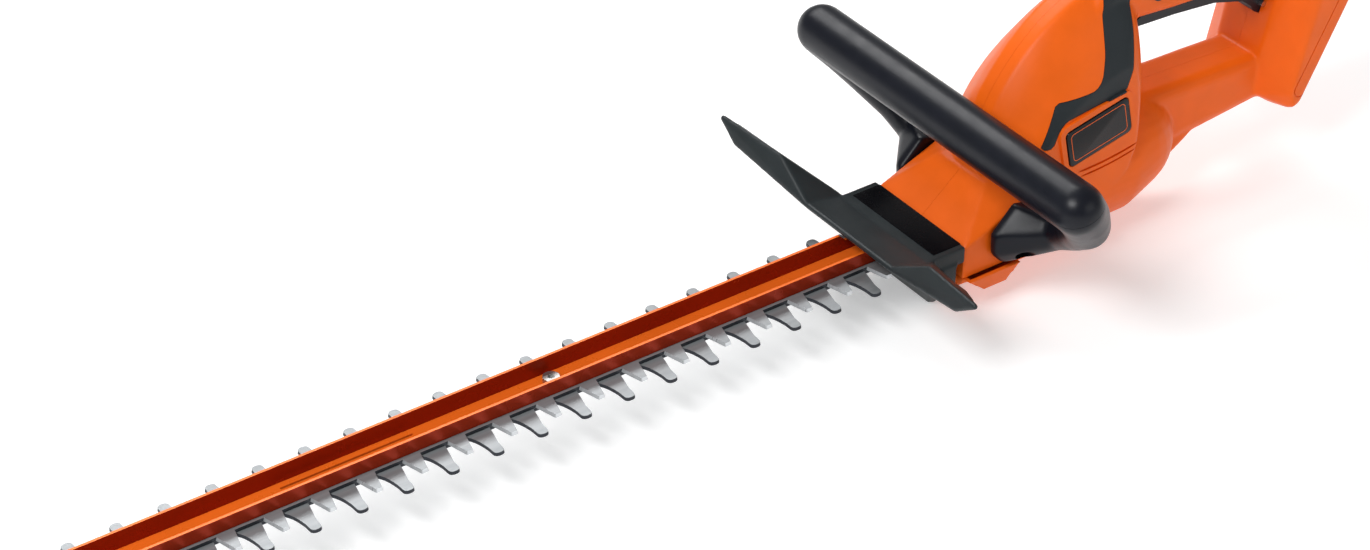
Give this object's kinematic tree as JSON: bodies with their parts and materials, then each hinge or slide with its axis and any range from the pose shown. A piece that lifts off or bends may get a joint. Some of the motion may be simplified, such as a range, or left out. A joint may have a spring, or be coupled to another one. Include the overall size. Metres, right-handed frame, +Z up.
{
  "type": "hedge trimmer",
  "caption": "Cordless hedge trimmer with a double reciprocating blade, gear drive and motor inside a split housing, wrap-around front handle and D-shaped rear handle.",
  "frame": {"origin": "on the resting plane, under the crankshaft's axis, in the plane of symmetry", "axes": "+X towards the rear handle and battery mount with the blade along -X, +Y across, +Z up"},
  "size_m": [0.8946, 0.2512, 0.168],
  "materials": {
    "orange_shell": "moulded, fine texture, satin",
    "orange_cover": "moulded, satin",
    "charcoal": "moulded, fine texture",
    "badge_black": "smooth, blank",
    "guard_grey": "moulded, satin",
    "handle_black": "moulded, satin",
    "trigger_black": "smooth",
    "screw_steel": "zinc plated",
    "pin_steel": "ground",
    "spring_steel": "drawn wire",
    "blade_steel": "ground edges",
    "bar_orange": "gloss paint",
    "gear_steel": "cut teeth",
    "case_aluminium": "die cast",
    "plate_steel": "stamped",
    "can_steel": "drawn",
    "magnet_dark": "sintered, coated",
    "copper_wound": "lacquered windings on a steel core",
    "inner_plastic": "moulded",
    "plunger_white": "moulded",
    "board_green": "laminate with parts",
    "contact_brass": "plated"
  },
  "bodies": {
    "root": {"housing_left": "orange_shell", "housing_right": "orange_shell", "belly_cover": "orange_cover", "inlay_left": "charcoal", "inlay_right": "charcoal", "badge_left": "badge_black", "badge_right": "badge_black", "guard": "guard_grey", "guard_screws": "screw_steel", "bail_frame": "handle_black", "bail_grip": "handle_black", "bail_screws": "screw_steel", "trigger_pin": "pin_steel", "trigger_spring": "spring_steel", "switch_body": "inner_plastic", "terminal_block": "inner_plastic", "terminal_blades": "contact_brass", "controller_board": "board_green", "gear_case": "case_aluminium", "gear_case_posts": "pin_steel", "motor_plate": "plate_steel", "crank_bearings": "pin_steel", "motor_can": "can_steel", "motor_magnets": "magnet_dark", "motor_end_cap": "inner_plastic", "guide_bar": "bar_orange", "blade_screws": "screw_steel", "blade_spacers": "pin_steel", "blade_nuts": "screw_steel", "plate_screws": "screw_steel", "belly_screws": "screw_steel", "housing_screws": "screw_steel"},
    "crank": {"crankshaft": "gear_steel", "drive_gear": "gear_steel"},
    "rotor": {"motor_shaft": "pin_steel", "armature": "copper_wound", "cooling_fan": "inner_plastic", "pinion_gear": "gear_steel"},
    "upper_blade_body": {"upper_blade": "blade_steel"},
    "lower_blade_body": {"lower_blade": "blade_steel"},
    "trigger_body": {"trigger": "trigger_black"},
    "plunger_body": {"switch_plunger": "plunger_white"},
    "lock_body": {"lock_button": "trigger_black"}
  },
  "joints": [
    {"name": "crank_spin", "type": "hinge", "parent": "root", "child": "crank", "pos_m": [0, 0, 0], "axis": [0, 0, 1], "continuous": true},
    {"name": "motor_spin", "type": "hinge", "parent": "root", "child": "rotor", "pos_m": [0.035, 0, 0], "axis": [0, 0, 1], "continuous": true},
    {"name": "upper_blade_slide", "type": "slide", "parent": "root", "child": "upper_blade_body", "axis": [1, 0, 0], "range_m": [-0.0065, 0.0065]},
    {"name": "lower_blade_slide", "type": "slide", "parent": "root", "child": "lower_blade_body", "axis": [1, 0, 0], "range_m": [-0.0065, 0.0065]},
    {"name": "trigger_squeeze", "type": "hinge", "parent": "root", "child": "trigger_body", "pos_m": [0.196, 0, 0.104], "axis": [0, 1, 0], "range_deg": [0, 5], "stiffness_Nm_per_rad": 3, "springref_deg": -5.73, "deforming": ["trigger_spring"]},
    {"name": "plunger_slide", "type": "slide", "parent": "root", "child": "plunger_body", "axis": [0, 0, 1], "range_m": [0, 0.0046]},
    {"name": "lock_off_push", "type": "slide", "parent": "root", "child": "lock_body", "axis": [0, 1, 0], "range_m": [0, 0.003], "stiffness_N_per_m": 600, "springref_m": -0.001}
  ],
  "couplings": [
    {"joint": "motor_spin", "follows": "crank_spin", "ratio": -6},
    {"joint": "lower_blade_slide", "follows": "upper_blade_slide", "ratio": -1},
    {"joint": "plunger_slide", "follows": "trigger_squeeze", "m_per_rad": 0.05157}
  ]
}
